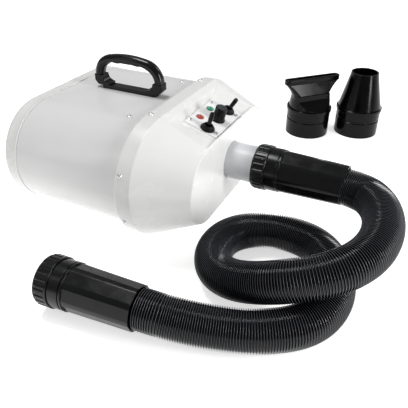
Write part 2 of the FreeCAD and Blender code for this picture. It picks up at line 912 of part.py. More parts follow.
def motor_frame(side):
    """Motor housing: a drum on the fan can and a narrower nose with the front bearing."""
    inner = motor_radius - motor_wall
    frame = turned(
        [
            (0, motor_radius),
            (motor_length, motor_radius),
            (motor_length, nose_radius),
            (motor_length + nose_length, nose_radius),
            (motor_length + nose_length, motor_shaft_radius + bearing_gap),
            (motor_length + nose_length - bearing_wall, motor_shaft_radius + bearing_gap),
            (motor_length + nose_length - bearing_wall, nose_radius - motor_wall),
            (motor_length - motor_wall, nose_radius - motor_wall),
            (motor_length - motor_wall, inner),
            (0, inner),
        ],
        vec(motor_x, side * motor_y, axis_z),
        along_x,
    )
    vents = vent_ring(nose_radius * 0.6, nose_end - bearing_wall - 1, side * motor_y, bearing_wall + 2)
    outer_vents = vent_ring(motor_radius - 7, nose_x - motor_wall - 1, side * motor_y, motor_wall + 2)
    return frame.cut(vents).cut(outer_vents)


def motor_mount_rings():
    """Rubber rings that hold the motor noses in the front frame."""
    rings = []
    for side in (-1, 1):
        start = vec(frame_x, side * motor_y, axis_z)
        rings.append(pipe(nose_radius + mount_ring_wall, nose_radius, mount_ring_length, start, along_x))
    return Part.makeCompound(rings)


def front_frame():
    """Moulded frame across the tube: holds the motor noses, carries the circuit board."""
    outer = half_height - tube_wall - inner_gap
    plate_x = frame_x + (mount_ring_length - frame_plate) / 2
    wall = stadium_block(plate_x, frame_plate, outer, half_flat, axis_z)
    wall = wall.fuse(stadium_ring(plate_x, frame_rim, outer, outer - frame_plate))
    for side in (-1, 1):
        middle = vec(plate_x - 1, side * motor_y, axis_z)
        hole = rod(nose_radius + mount_ring_wall, frame_plate + 2, middle, along_x)
        wall = wall.cut(hole)
        for up in (-1, 1):
            corner = vec(plate_x - 1, side * (half_flat + 34), axis_z + up * 36)
            wall = wall.cut(rod(frame_vent_radius, frame_plate + 2, corner, along_x))
    for y, z in board_corners():
        wall = wall.fuse(rod(standoff_radius, standoff, vec(plate_x + frame_plate, y, z), along_x))
    for y in (-tube_screw_y, tube_screw_y):
        for z in (axis_z - outer - 1, axis_z + outer - frame_plate - 1):
            below = vec(tube_screw_x, y, z)
            wall = wall.cut(rod(screw_radius + thread_gap, frame_plate + 2, below, along_z))
    bolt = vec(handle_bolt_x(1), handle_y, tube_top - tube_wall - inner_gap - frame_plate - 1)
    return wall.cut(rod(bolt_head_radius + 1, frame_plate + 2, bolt, along_z)).removeSplitter()


def board_corners():
    places = []
    for y in (-board_width / 2 + 5, board_width / 2 - 5):
        for z in (-board_length / 2 + 5, board_length / 2 - 5):
            places.append((y, axis_z + z))
    return places


def board_x():
    return frame_x + (mount_ring_length - frame_plate) / 2 + frame_plate + standoff


def circuit_board():
    """Speed and heater control board with its relay, capacitors and heat sink."""
    x = board_x()
    corner = vec(x, -board_width / 2, axis_z - board_length / 2)
    parts = [Part.makeBox(board_thickness, board_width, board_length, corner)]
    face = x + board_thickness
    parts.append(Part.makeBox(12, 15, 19, vec(face, -18, axis_z + 8)))
    parts.append(rod(5, 13, vec(face, 8, axis_z + 20), along_x))
    parts.append(rod(5, 13, vec(face, 8, axis_z + 6), along_x))
    for index in range(5):
        parts.append(Part.makeBox(11, 1.2, 24, vec(face, -18 + index * 5, axis_z - 29)))
    parts.append(Part.makeBox(2, 21.2, 24, vec(face, -18, axis_z - 29)))
    return joined(parts)


# Heater and outlet

def spigot_screw_places():
    places = []
    radius = (spigot_flange_radius + duct_radius) / 2
    for index in range(4):
        angle = math.radians(45 + 90 * index)
        y = radius * math.cos(angle)
        z = spigot_z + radius * math.sin(angle)
        places.append(vec(face_x - hood_wall - spigot_flange - duct_wall, y, z))
    return places


def spigot_screw_bite():
    return duct_wall + spigot_flange + hood_wall - 1


def outlet_spigot():
    """Rimmed tube the hose slips on, and the flange that clamps its rim to the hood."""
    length = spigot_flange + hood_wall + spigot_reach + spigot_tuck
    bore = spigot_radius - spigot_wall
    start = vec(face_x - hood_wall - spigot_flange, 0, spigot_z)
    tube = turned(
        [
            (0, bore),
            (0, spigot_rim_radius),
            (spigot_rim, spigot_rim_radius),
            (spigot_rim, spigot_radius),
            (length - 1.5, spigot_radius),
            (length, spigot_radius - 1),
            (length, bore),
        ],
        start,
        along_x,
    )
    flange = turned(
        [
            (0, spigot_rim_radius + fit_gap),
            (0, spigot_flange_radius),
            (spigot_flange, spigot_flange_radius),
            (spigot_flange, spigot_radius + fit_gap),
            (spigot_rim + fit_gap, spigot_radius + fit_gap),
            (spigot_rim + fit_gap, spigot_rim_radius + fit_gap),
        ],
        start,
        along_x,
    )
    for hole in spigot_screw_places():
        flange = flange.cut(rod(screw_radius + thread_gap, spigot_screw_bite(), hole, along_x))
    return Part.makeCompound([tube, flange])


def spigot_screws():
    reach = spigot_screw_bite() - 0.5
    return Part.makeCompound([screw(start, along_x, reach) for start in spigot_screw_places()])


duct_end = face_x - hood_wall - spigot_flange


def heater_duct():
    """Sheet-metal tube round the heater, flanged onto the spigot."""
    start = vec(duct_end - duct_length, 0, spigot_z)
    duct = pipe(duct_radius, duct_radius - duct_wall, duct_length, start, along_x)
    flange_start = vec(duct_end - duct_wall, 0, spigot_z)
    duct = duct.fuse(pipe(spigot_flange_radius, duct_radius - duct_wall, duct_wall, flange_start, along_x))
    for hole in spigot_screw_places():
        duct = duct.cut(rod(screw_radius + thread_gap, duct_wall, hole, along_x))
    return duct.removeSplitter()


def heater_frame():
    """Two crossed insulating boards, narrower between their ends, where the wire winds."""
    half = duct_radius - duct_wall - inner_gap
    x = duct_end - duct_length + mica_inset
    wide = 2 * half
    waist = 2 * mica_waist
    boards = []
    for upright in (False, True):
        for start, length, width in (
            (x, mica_end, wide),
            (x + mica_end, mica_length - 2 * mica_end, waist),
            (x + mica_length - mica_end, mica_end, wide),
        ):
            board = Part.makeBox(length, width, mica, vec(start, -width / 2, -mica / 2))
            if upright:
                board.rotate(vec(0, 0, 0), along_x, 90)
            board.translate(vec(0, 0, spigot_z))
            boards.append(board)
    frame = joined(boards)
    return frame.common(rod(half, mica_length, vec(x, 0, spigot_z), along_x))


def heater_coil():
    """Resistance wire wound round the boards: straight from one board's edge to the next."""
    reach = mica_waist + mica / 2 + (coil_wire_radius + coil_gap) * math.sqrt(2)
    start = vec(duct_end - duct_length + mica_inset + mica_end + 2, 0, spigot_z)
    quarters = int(4 * (mica_length - 2 * mica_end - 4) / coil_pitch)
    points = []
    for index in range(quarters + 1):
        angle = math.pi / 2 * index
        place = vec(coil_pitch / 4 * index, reach * math.cos(angle), reach * math.sin(angle))
        points.append(start + place)
    path = Part.makePolygon(points)
    heading = points[1] - points[0]
    section = Part.Wire(Part.makeCircle(coil_wire_radius, points[0], heading))
    right_corners = 1
    return path.makePipeShell([section], True, True, right_corners)


def thermal_cutout():
    """Snap thermostat saddled on top of the duct."""
    x = duct_end - duct_length + mica_inset + 12
    base = spigot_z + duct_radius
    corner = vec(x, -cutout_width / 2, base - 3)
    block = Part.makeBox(cutout_length, cutout_width, cutout_height + 3, corner)
    return block.cut(rod(duct_radius, cutout_length, vec(x, 0, spigot_z), along_x))


# Control panel

def panel_screw_places():
    x = panel_length / 2 - panel_screw_inset
    y = panel_width / 2 - panel_screw_side
    return [(-x, -y), (-x, y), (x, -y), (x, y)]


def panel_plate():
    """Painted metal plate with the control holes."""
    outline = rounded_rectangle(panel_length, panel_width, panel_round, -panel_thickness)
    plate = Part.Face(outline).extrude(vec(0, 0, panel_thickness))
    holes = [(x, y, screw_radius + thread_gap) for x, y in panel_screw_places()]
    for side in (-1, 1):
        holes.append((control_row, side * toggle_spread, bushing_radius + thread_gap))
        holes.append((lamp_row, side * lamp_spread, lamp_stem_radius + thread_gap))
    holes.append((control_row, 0, shaft_radius + 2 + thread_gap))
    for x, y, radius in holes:
        plate = plate.cut(rod(radius, panel_thickness, vec(x, y, -panel_thickness), along_z))
    return on_panel(plate)


def panel_screws():
    down = panel_point(0, 0, -1) - panel_point(0, 0, 0)
    reach = panel_thickness + pocket_wall
    return Part.makeCompound([
        screw(panel_point(x, y, 0), down, reach) for x, y in panel_screw_places()
    ])


def toggle_switch(side):
    """Switch body under the plate with the bushing that the lever's ball sits in."""
    y = side * toggle_spread
    corner = vec(control_row - switch_length / 2, y - switch_width / 2, -panel_thickness - switch_depth)
    body = Part.makeBox(switch_length, switch_width, switch_depth, corner)
    body = body.fuse(rod(bushing_radius, panel_thickness, vec(control_row, y, -panel_thickness), along_z))
    for x in (-6, 0, 6):
        tag = Part.makeBox(0.8, 4, 7, vec(control_row + x - 0.4, y - 2, corner.z - 7))
        body = body.fuse(tag)
    seat = Part.makeSphere(ball_radius + inner_gap, vec(control_row, y, 0))
    body = body.cut(seat).fuse(toggle_pin(side, pin_radius, pin_reach))
    return on_panel(body.removeSplitter())


def toggle_pin(side, radius, reach):
    """Pin across the seat that the lever's ball turns on."""
    return rod(radius, 2 * reach, vec(control_row, side * toggle_spread - reach, 0), along_y)


def toggle_boot(side):
    """Stepped rubber-faced nut that clamps the switch to the plate."""
    inner = ball_radius + inner_gap
    boot = turned(
        [
            (0, inner),
            (0, boot_radius),
            (boot_flange, boot_radius - 0.5),
            (boot_flange, boot_waist_radius),
            (boot_flange + boot_waist, boot_waist_radius),
            (boot_flange + boot_waist, boot_top_radius + 0.6),
            (boot_height - 1, boot_top_radius),
            (boot_height, boot_top_radius - 1),
            (boot_height, inner + 1.6),
            (ball_radius * 0.6, inner),
        ],
        vec(control_row, side * toggle_spread, 0),
        along_z,
    )
    boot = boot.cut(toggle_pin(side, pin_radius + thread_gap, pin_reach + fit_gap))
    return on_panel(boot)


def toggle_lever(side):
    """Bat lever on its ball; the near lever stands at its middle and the far one forward."""
    lever = turned(
        [
            (0, 0),
            (0, lever_root_radius),
            (lever_length - 4, lever_tip_radius),
            (lever_length - 1.2, lever_tip_radius - 0.3),
            (lever_length, lever_tip_radius - 1.6),
            (lever_length, 0),
        ],
        vec(0, 0, 0),
        along_z,
    )
    lever = lever.fuse(Part.makeSphere(ball_radius)).removeSplitter()
    lever = lever.cut(rod(pin_radius + bearing_gap, 2 * ball_radius, vec(0, -ball_radius, 0), along_y))
    lean = toggle_throw if side > 0 else 0
    lever.rotate(vec(0, 0, 0), along_y, lean)
    lever.translate(vec(control_row, side * toggle_spread, 0))
    return on_panel(lever)


def selector_switch():
    half = selector_size / 2
    corner = vec(control_row - half, -half, -panel_thickness - selector_depth)
    body = Part.makeBox(selector_size, selector_size, selector_depth, corner)
    collar = rod(shaft_radius + 2, panel_thickness, vec(control_row, 0, -panel_thickness), along_z)
    body = body.fuse(collar)
    bottom = vec(control_row, 0, -selector_depth + 4)
    well = rod(shaft_radius + bearing_gap, selector_depth, bottom, along_z)
    return on_panel(body.cut(well).removeSplitter())


def selector_shaft():
    start = -selector_depth + 5
    return on_panel(rod(shaft_radius, shaft_reach - start, vec(control_row, 0, start), along_z))


def selector_knob():
    """Fluted moulded knob with a thin skirt, pushed on the shaft."""
    knob = turned(
        [
            (0, 0),
            (0, knob_skirt_radius),
            (knob_skirt * 0.6, knob_skirt_radius),
            (knob_skirt, knob_foot_radius),
            (knob_height - 0.8, knob_top_radius),
            (knob_height, knob_top_radius - 0.8),
            (knob_height, knob_cap_radius),
            (knob_height - knob_cap, knob_cap_radius),
            (knob_height - knob_cap, 0),
        ],
        vec(0, 0, 0),
        along_z,
    )
    flutes = []
    for index in range(knob_flute_count):
        angle = 2 * math.pi * index / knob_flute_count
        out = vec(math.cos(angle), math.sin(angle), 0)
        centre = out * (knob_foot_radius + 0.25)
        flutes.append(rod(knob_flute_radius, knob_height, centre + along_z * (knob_skirt + 0.8), along_z))
    knob = knob.cut(Part.makeCompound(flutes))
    knob = knob.cut(rod(shaft_radius, shaft_reach - knob_lift, vec(0, 0, 0), along_z))
    knob.translate(vec(control_row, 0, knob_lift))
    return on_panel(knob)


def knob_cap_disc():
    """Thin metal disc let into the knob's top, with a groove as the pointer."""
    top = knob_lift + knob_height
    disc = rod(knob_cap_radius, knob_cap, vec(control_row, 0, top - knob_cap), along_z)
    groove = Part.makeBox(knob_cap_radius, 1, 0.4, vec(control_row + 0.5, -0.5, top - 0.4))
    return on_panel(disc.cut(groove))


def lamp(side):
    """Indicator lamp: coloured domed lens with its stem through the plate."""
    body = turned(
        [
            (-lamp_stem, 0),
            (-lamp_stem, lamp_stem_radius),
            (0, lamp_stem_radius),
            (0, lamp_radius),
            (lamp_flange, lamp_radius),
            (lamp_flange + 0.5, lamp_stem_radius),
            (lamp_flange + 1.2, lamp_stem_radius * 0.82),
            (lamp_flange + lamp_dome - 0.4, lamp_stem_radius * 0.45),
            (lamp_flange + lamp_dome - 0.1, 0),
        ],
        vec(lamp_row, side * lamp_spread, 0),
        along_z,
    )
    return on_panel(body)


# Handle

def handle_bolt_x(side):
    return handle_x + side * (handle_half - bolt_inset)


def handle_path():
    """Centre line of the grip: two legs' tops, two corner arcs and a long crown arc."""
    angle = math.radians(handle_crown_angle)
    corner_x = handle_bend - handle_half
    join = vec(corner_x - handle_bend * math.sin(angle), 0, handle_bend * math.cos(angle))
    middle_angle = math.pi / 2 + (math.pi / 2 + angle) / 2
    middle = vec(corner_x + handle_bend * math.cos(middle_angle), 0, handle_bend * math.sin(middle_angle))
    crown_radius = -join.x / math.sin(angle)
    crown = vec(0, 0, join.z + crown_radius * (1 - math.cos(angle)))
    foot = vec(handle_x, handle_y, tube_top + handle_end_height)
    left = [vec(-handle_half, 0, 0), middle, join]
    right = [vec(-point.x, 0, point.z) for point in left]
    edges = [
        Part.Arc(left[0] + foot, left[1] + foot, left[2] + foot).toShape(),
        Part.Arc(left[2] + foot, crown + foot, right[2] + foot).toShape(),
        Part.Arc(right[2] + foot, right[1] + foot, right[0] + foot).toShape(),
    ]
    return Part.Wire(edges), foot.z + crown.z


def handle_grip():
    """Moulded arch, rounded in section, with shallow finger grooves underneath."""
    path, crown_z = handle_path()
    section = rounded_rectangle(handle_thickness, handle_width, handle_corner, tube_top + handle_end_height)
    section.translate(vec(handle_x - handle_half, handle_y, 0))
    grip = path.makePipeShell([section], True, False)
    grooves = []
    inner_z = crown_z - handle_thickness / 2
    for index in range(4):
        offset = (index - 1.5) * finger_pitch
        centre_z = inner_z - finger_groove_radius + finger_groove_depth
        centre = vec(handle_x + offset, handle_y - handle_width, centre_z)
        grooves.append(rod(finger_groove_radius, 2 * handle_width, centre, along_y))
    return grip.cut(Part.makeCompound(grooves))


def handle_ends():
    """Moulded end pieces: each stands on the base, overhangs it and curves in below its leg."""
    ends = []
    outer = handle_half + handle_thickness / 2 + handle_end_proud
    inner = handle_half - handle_end_inside
    low = tube_top + handle_base
    high = tube_top + handle_end_height
    toe = inner - handle_end_round
    toe_height = high - low - handle_end_round
    bend = vec(toe, 0, high)
    middle = bend + vec(math.sqrt(0.5), 0, -math.sqrt(0.5)) * handle_end_round
    corner = outer - handle_end_chamfer
    outline = [
        Part.makeLine(vec(toe, 0, low), vec(corner, 0, low)),
        Part.makeLine(vec(corner, 0, low), vec(outer, 0, low + handle_end_chamfer)),
        Part.makeLine(vec(outer, 0, low + handle_end_chamfer), vec(outer, 0, high)),
        Part.makeLine(vec(outer, 0, high), vec(inner, 0, high)),
        Part.Arc(vec(inner, 0, high), middle, vec(toe, 0, low + toe_height)).toShape(),
        Part.makeLine(vec(toe, 0, low + toe_height), vec(toe, 0, low)),
    ]
    block = Part.Face(Part.Wire(outline)).extrude(vec(0, handle_end_width, 0))
    block.translate(vec(0, -handle_end_width / 2, 0))
    if block.Volume < 0:
        block.reverse()
    upright = []
    for edge in block.Edges:
        box = edge.BoundBox
        if box.YLength < 0.01 and box.ZLength > 1 and box.XMin > corner - 0.01:
            upright.append(edge)
    block = block.makeFillet(handle_corner / 2, upright)
    for side in (-1, 1):
        end = block.copy() if side > 0 else block.mirror(vec(0, 0, 0), along_x)
        end.translate(vec(handle_x, handle_y, 0))
        seat = vec(handle_bolt_x(side), handle_y, tube_top)
        ends.append(end.cut(rod(bolt_radius + thread_gap, bolt_reach, seat, along_z)))
    return Part.makeCompound(ends)


def handle_base_strip():
    """Flat strip between the handle's ends and the tube."""
    outline = rounded_rectangle(2 * handle_base_half, handle_base_width, handle_corner, 0)
    strip = Part.Face(outline).extrude(vec(0, 0, handle_base))
    strip.translate(vec(handle_x, handle_y, tube_top))
    for side in (-1, 1):
        seat = vec(handle_bolt_x(side), handle_y, tube_top)
        strip = strip.cut(rod(bolt_radius + thread_gap, handle_base, seat, along_z))
    return strip


def handle_bolts():
    bolts = []
    for side in (-1, 1):
        centre = vec(handle_bolt_x(side), handle_y, tube_top - tube_wall)
        head = rod(bolt_head_radius, bolt_head, centre - along_z * bolt_head, along_z)
        shank = rod(bolt_radius, tube_wall + bolt_reach - 0.5, centre, along_z)
        bolts.append(head.fuse(shank))
    return Part.makeCompound(bolts)


# Cuffs, collars and hose

def cuff_place(outlet):
    """Placement of a cuff's own frame: mouth at the origin, axis along +X."""
    if outlet:
        return FreeCAD.Placement(vec(outlet_mouth_x, 0, spigot_z), FreeCAD.Rotation())
    return FreeCAD.Placement(end_mouth, FreeCAD.Rotation(along_z, end_cuff_turn))


def cuff_sleeve(outlet):
    """Moulded cuff: neck for the collar, smooth band, and a long sleeve with flats."""
    sleeve_start = cuff_band_end + cuff_groove + cuff_bead
    socket = spigot_radius + fit_gap
    hose_bore = hose_radius + hose_gap
    stop_end = cuff_length - hose_tuck
    shaped = turned(
        [
            (0, 0),
            (0, cuff_rim_radius),
            (cuff_rim, cuff_rim_radius),
            (cuff_rim, cuff_neck_radius),
            (cuff_band_start, cuff_neck_radius),
            (cuff_band_start, cuff_band_radius),
            (cuff_band_end, cuff_band_radius),
            (cuff_band_end, cuff_groove_radius),
            (cuff_band_end + cuff_groove, cuff_groove_radius),
            (cuff_band_end + cuff_groove, cuff_band_radius),
            (sleeve_start, cuff_band_radius),
            (sleeve_start, 0),
        ],
        vec(0, 0, 0),
        along_x,
    )
    length = cuff_length - sleeve_start
    start = vec(sleeve_start, 0, 0)
    body = Part.makeCone(cuff_sleeve_radius, cuff_end_radius, length, start, along_x)
    facets = []
    for x, radius in ((sleeve_start, cuff_sleeve_radius), (cuff_length, cuff_end_radius)):
        reach = (radius - cuff_flat_depth) / math.cos(math.pi / cuff_flat_count)
        corners = []
        for index in range(cuff_flat_count + 1):
            angle = 2 * math.pi * index / cuff_flat_count
            corners.append(vec(x, reach * math.cos(angle), reach * math.sin(angle)))
        facets.append(Part.makePolygon(corners))
    body = body.common(Part.makeLoft(facets, True, True))
    bore = turned(
        [
            (-1, 0),
            (-1, socket),
            (spigot_tuck + 2, socket),
            (spigot_tuck + 2, cuff_stop_radius),
            (spigot_tuck + 2 + cuff_stop, cuff_stop_radius),
            (spigot_tuck + 2 + cuff_stop, cuff_bore_radius),
            (stop_end - cuff_stop, cuff_bore_radius),
            (stop_end - cuff_stop, cuff_stop_radius),
            (stop_end, cuff_stop_radius),
            (stop_end, hose_bore),
            (cuff_length + 1, hose_bore),
            (cuff_length + 1, 0),
        ],
        vec(0, 0, 0),
        along_x,
    )
    sleeve = shaped.fuse(body).cut(bore).removeSplitter()
    sleeve.Placement = cuff_place(outlet)
    return sleeve


def cuff_collar(outlet):
    """Grip ring that turns on the cuff's neck between its rim and its band."""
    start = cuff_rim + fit_gap
    end = cuff_band_start - fit_gap
    edge = 1.2
    ring = turned(
        [
            (start, cuff_neck_radius + fit_gap),
            (start, collar_radius - edge),
            (start + edge, collar_radius),
            (end - edge / 2, collar_radius),
            (end, collar_radius - edge / 2),
            (end, cuff_neck_radius + fit_gap),
        ],
        vec(0, 0, 0),
        along_x,
    )
    grooves = []
    distance = collar_radius + collar_groove_radius - collar_groove_depth
    groove_length = end - start - collar_bead
    for index in range(collar_groove_count):
        angle = 2 * math.pi * (index + 0.5) / collar_groove_count
        centre = vec(start, distance * math.cos(angle), distance * math.sin(angle))
        grooves.append(rod(collar_groove_radius, groove_length, centre, along_x))
    ring = ring.cut(Part.makeCompound(grooves))
    ring.Placement = cuff_place(outlet)
    return ring


def route_pieces():
    """Straight runs and tangent arcs of the route, as (length, point and heading)."""
    pieces = []
    cursor = hose_route[0]
    radii = []
    for before, corner, after in zip(hose_route, hose_route[1:], hose_route[2:]):
        into = corner - before
        out = after - corner
        reach = 0.45 * min(into.Length, out.Length)
        into.normalize()
        out.normalize()
        turn = into.getAngle(out)
        radius = reach / math.tan(turn / 2)
        radii.append(radius)
        start = corner - into * reach
        pieces.append(("run", (start - cursor).Length, cursor, into, None, None))
        inward = out - into * into.dot(out)
        inward.normalize()
        pieces.append(("arc", radius * turn, start, into, inward, radius))
        cursor = corner + out * reach
    heading = hose_route[-1] - cursor
    length = heading.Length
    heading.normalize()
    pieces.append(("run", length, cursor, heading, None, None))
    return pieces, radii


def route_point(pieces, distance):
    """Point and heading at a distance along the route."""
    for kind, length, start, heading, inward, radius in pieces:
        if distance <= length or kind == "run" and pieces[-1][2] is start:
            if kind == "run":
                return start + heading * distance, heading
            angle = distance / radius
            centre = start + inward * radius
            point = centre - inward * (radius * math.cos(angle)) + heading * (radius * math.sin(angle))
            ahead = heading * math.cos(angle) + inward * math.sin(angle)
            return point, ahead
        distance -= length


def steady_circle(pieces, distance, radius):
    """Circle across the route whose starting point keeps to the same side."""
    centre, ahead = route_point(pieces, distance)
    level = along_z.cross(ahead)
    level.normalize()
    circle = Part.Circle(centre, ahead, radius)
    circle.XAxis = level
    return Part.Wire(circle.toShape())


def hose():
    """Ribbed hose: one skin of ribs, one smooth bore and two flat ends."""
    pieces, radii = route_pieces()
    total = sum(piece[1] for piece in pieces)
    print("hose length", round(total, 1), "arc radii", [round(radius) for radius in radii])
    plain = hose_tuck
    pitch = (total - 2 * plain) / rib_count
    stations = [(0, hose_root_radius)]
    for index in range(rib_count):
        start = plain + index * pitch
        crest = start + rib_flank_share * pitch
        drop = crest + rib_crest_share * pitch
        stations.append((start, hose_root_radius))
        stations.append((crest, hose_radius))
        stations.append((drop, hose_radius))
        stations.append((drop + rib_flank_share * pitch, hose_root_radius))
    stations.append((total, hose_root_radius))
    skin = [steady_circle(pieces, distance, radius) for distance, radius in stations]
    outer = Part.makeLoft(skin, True, True)
    bore_stations = [distance for distance, radius in stations[::4]]
    if bore_stations[-1] < total:
        bore_stations.append(total)
    bore = [steady_circle(pieces, distance, hose_bore_radius) for distance in bore_stations]
    inner = Part.makeLoft(bore, True, True)
    print("rib pitch", round(pitch, 2), "least gap to itself", round(hose_self_gap(pieces, total), 2))
    return outer.cut(inner)


def hose_self_gap(pieces, total):
    """Least distance between skins of parts of the hose that are far apart along it."""
    step = 6.0
    apart = 4 * hose_radius
    points = [route_point(pieces, index * step)[0] for index in range(int(total / step) + 1)]
    least = total
    skip = int(apart / step)
    for index, first in enumerate(points):
        for second in points[index + skip:]:
            least = min(least, first.distanceToPoint(second))
    return least - 2 * hose_radius


# Nozzles

def nozzle_base():
    """Skirt, grip groove, band and flange that both nozzles share, up to the flange's top."""
    outer = nozzle_radius
    proud = outer + nozzle_flange
    return [
        (0, outer),
        (nozzle_skirt, outer),
        (nozzle_skirt + nozzle_groove, outer - nozzle_groove),
        (nozzle_skirt + 3 * nozzle_groove, outer - nozzle_groove),
        (nozzle_skirt + 4 * nozzle_groove, outer),
        (nozzle_band_end, outer),
        (nozzle_band_end + nozzle_flange, proud),
        (nozzle_flange_end - 1.0, proud),
        (nozzle_flange_end, proud - 1.0),
    ]


def nozzle_socket():
    """Inside of the base: the liner's seat and the ledge above it, from the top down."""
    bore = nozzle_radius - nozzle_wall
    seat = liner_recess + liner_length
    return [
        (nozzle_flange_end, bore - nozzle_ledge),
        (seat + 2, bore - nozzle_ledge),
        (seat, bore),
        (0, bore),
    ]


def nozzle_liner(x, y):
    """Rubber ring in the skirt that grips the cuff's collar."""
    outer = nozzle_radius - nozzle_wall - liner_fit
    return pipe(outer, collar_radius + liner_gap, liner_length, vec(x, y, liner_recess), along_z)


def cone_nozzle():
    """Round nozzle: the base and a hollow cone that narrows to the mouth."""
    rise = cone_height - nozzle_flange_end
    span = nozzle_radius - 1.0 - cone_mouth_radius
    inner_span = nozzle_radius - nozzle_wall - nozzle_ledge - cone_mouth_radius + cone_wall
    outer = nozzle_base()
    inner = []
    steps = 8
    for index in range(steps + 1):
        share = index / steps
        narrowing = (1 - share) ** cone_curve
        outer_radius = cone_mouth_radius + span * narrowing
        outer.append((nozzle_flange_end + 1.0 + (rise - 1.0) * share, outer_radius))
        inner_radius = cone_mouth_radius - cone_wall + inner_span * narrowing
        inner.append((nozzle_flange_end + rise * share, inner_radius))
    profile = outer + inner[:0:-1] + nozzle_socket()
    return turned(profile, vec(cone_x, cone_y, 0), along_z)


def fan_outline(z, width, depth, shrink):
    wide = width - 2 * shrink
    deep = depth - 2 * shrink
    return rounded_rectangle(wide, deep, deep * 0.42, z)


def fan_shape(shrink, lift):
    """Neck with two sloping shoulders, and a fishtail that flattens and widens."""
    low = nozzle_flange_end - lift
    neck_height = fan_neck_top - low
    neck = Part.makeCone(
        fan_neck_low_radius - shrink,
        fan_neck_top_radius - shrink,
        neck_height,
        vec(0, 0, low),
        along_z,
    )
    ridge = fan_ridge_half - shrink
    shoulder = fan_neck_low_radius - shrink
    top = fan_neck_top + 1
    corners = [
        (-shoulder, low),
        (shoulder, low),
        (shoulder, nozzle_flange_end),
        (ridge, fan_ridge_height - shrink),
        (ridge, top),
        (-ridge, top),
        (-ridge, fan_ridge_height - shrink),
        (-shoulder, nozzle_flange_end),
        (-shoulder, low),
    ]
    outline = Part.makePolygon([vec(-60, y, z) for y, z in corners])
    neck = neck.common(Part.Face(outline).extrude(vec(120, 0, 0)))
    neck_width = 2 * fan_neck_top_radius
    growth = fan_mouth_width - neck_width
    thin = 2 * fan_ridge_half - fan_mouth_depth
    rise = fan_height - fan_lip - fan_ridge_height
    outlines = [fan_outline(fan_ridge_height - 9, neck_width - 6, 2 * fan_ridge_half, shrink)]
    for share in (0.0, 0.3, 0.6, 0.85, 1.0):
        width = neck_width + growth * share ** 1.7
        depth = 2 * fan_ridge_half - thin * share
        outlines.append(fan_outline(fan_ridge_height + rise * share, width, depth, shrink))
    tail = Part.makeLoft(outlines, True, True)
    mouth = Part.Face(fan_outline(fan_height - fan_lip, fan_mouth_width, fan_mouth_depth, shrink))
    return neck.fuse([tail, mouth.extrude(vec(0, 0, fan_lip))])


def flat_nozzle():
    """Fishtail nozzle: the shared base, the fishtail and a lip round its slot."""
    bore = nozzle_radius - nozzle_wall
    base = turned(nozzle_base() + nozzle_socket(), vec(0, 0, 0), along_z)
    lip_width = fan_mouth_width + 2 * fan_lip_proud
    lip_depth = fan_mouth_depth + 2 * fan_lip_proud
    lip = Part.Face(fan_outline(fan_height - fan_lip, lip_width, lip_depth, 0)).extrude(vec(0, 0, fan_lip))
    rims = [edge for edge in lip.Edges if edge.BoundBox.ZLength < 0.01]
    lip = lip.makeFillet(fan_lip_proud * 0.9, rims)
    nozzle = base.fuse([fan_shape(0, 0), lip])
    hollow = fan_shape(fan_wall, nozzle_ledge)
    throat = Part.makeCone(
        bore - nozzle_ledge,
        fan_neck_low_radius - fan_wall,
        nozzle_ledge,
        vec(0, 0, nozzle_flange_end - nozzle_ledge),
        along_z,
    )
    mouth = fan_outline(fan_height - 1, fan_mouth_width, fan_mouth_depth, fan_wall)
    hollow = hollow.fuse([throat, Part.Face(mouth).extrude(vec(0, 0, 2))])
    nozzle = nozzle.cut(hollow).removeSplitter()
    nozzle.rotate(vec(0, 0, 0), along_z, fan_turn)
    nozzle.translate(vec(fan_x, fan_y, 0))
    return nozzle


def build():
    nodes = {
        "rear_cap": rear_cap(),
        "case_screws": Part.makeCompound(cap_screws() + hood_screws() + tube_screws()),
        "body_tube": body_tube(),
        "front_hood": front_hood(),
        "joint_ring": joint_ring(),
        "rear_feet": rear_feet(),
        "front_feet": front_feet(),
        "foot_screws": foot_screws(),
        "cable_gland": cable_gland(),
        "gland_nut": gland_nut_ring(),
        "filter_foam": filter_foam(),
        "filter_retainer": filter_retainer(),
        "bulkhead": bulkhead(),
        "motor_gaskets": motor_gaskets(),
        "motor_mount_rings": motor_mount_rings(),
        "front_frame": front_frame(),
        "circuit_board": circuit_board(),
        "outlet_spigot": outlet_spigot(),
        "spigot_screws": spigot_screws(),
        "heater_duct": heater_duct(),
        "heater_frame": heater_frame(),
        "heater_coil": heater_coil(),
        "thermal_cutout": thermal_cutout(),
        "panel_plate": panel_plate(),
        "panel_screws": panel_screws(),
        "selector_switch": selector_switch(),
        "selector_shaft": selector_shaft(),
        "selector_knob": selector_knob(),
        "knob_cap": knob_cap_disc(),
        "red_lamp": lamp(-1),
        "green_lamp": lamp(1),
        "handle_grip": handle_grip(),
        "handle_ends": handle_ends(),
        "handle_base": handle_base_strip(),
        "handle_bolts": handle_bolts(),
        "hose": hose(),
        "outlet_sleeve": cuff_sleeve(True),
        "outlet_collar": cuff_collar(True),
        "end_sleeve": cuff_sleeve(False),
        "end_collar": cuff_collar(False),
        "cone_nozzle": cone_nozzle(),
        "cone_liner": nozzle_liner(cone_x, cone_y),
        "flat_nozzle": flat_nozzle(),
        "flat_liner": nozzle_liner(fan_x, fan_y),
    }
    for name, side in (("near", -1), ("far", 1)):
        nodes[name + "_fan_can"] = fan_can(side)
        nodes[name + "_impeller"] = impeller(side)
        nodes[name + "_armature"] = armature(side)
        nodes[name + "_stator"] = stator(side)
        nodes[name + "_motor_frame"] = motor_frame(side)
        nodes[name + "_toggle_switch"] = toggle_switch(side)
        nodes[name + "_toggle_boot"] = toggle_boot(side)
        nodes[name + "_toggle_lever"] = toggle_lever(side)
    return nodes


